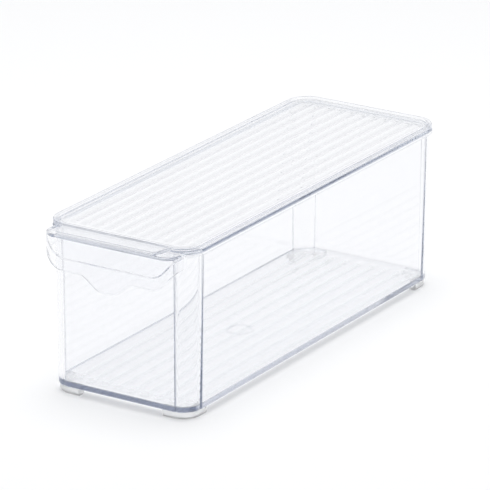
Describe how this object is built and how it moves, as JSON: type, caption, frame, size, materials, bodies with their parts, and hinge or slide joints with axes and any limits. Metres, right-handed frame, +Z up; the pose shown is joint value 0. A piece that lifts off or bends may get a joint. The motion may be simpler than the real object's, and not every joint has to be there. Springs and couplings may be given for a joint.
{
  "type": "stackable storage bin",
  "caption": "Long clear storage bin with rounded corners, a front finger grip, a recessed ribbed lift-off lid with a front tab, and soft corner feet.",
  "frame": {"origin": "on the floor, under the middle of the outline seen from above", "axes": "+Z up; +X to the right of somebody facing the grip; the grip and the lid's tab face -Y, so the length runs along Y"},
  "size_m": [0.1146, 0.3348, 0.1189],
  "materials": {
    "clear_plastic": "clear, polished",
    "clear_lid": "clear, polished",
    "soft_foot": "frosted, translucent"
  },
  "bodies": {
    "bin": {"bin_body": "clear_plastic", "foot_front_left": "soft_foot", "foot_front_right": "soft_foot", "foot_back_left": "soft_foot", "foot_back_right": "soft_foot"},
    "lid": {"lid": "clear_lid"}
  },
  "joints": [
    {"name": "lid_lift", "type": "slide", "parent": "bin", "child": "lid", "axis": [0, 0, 1], "range_m": [0, 0.06]}
  ]
}
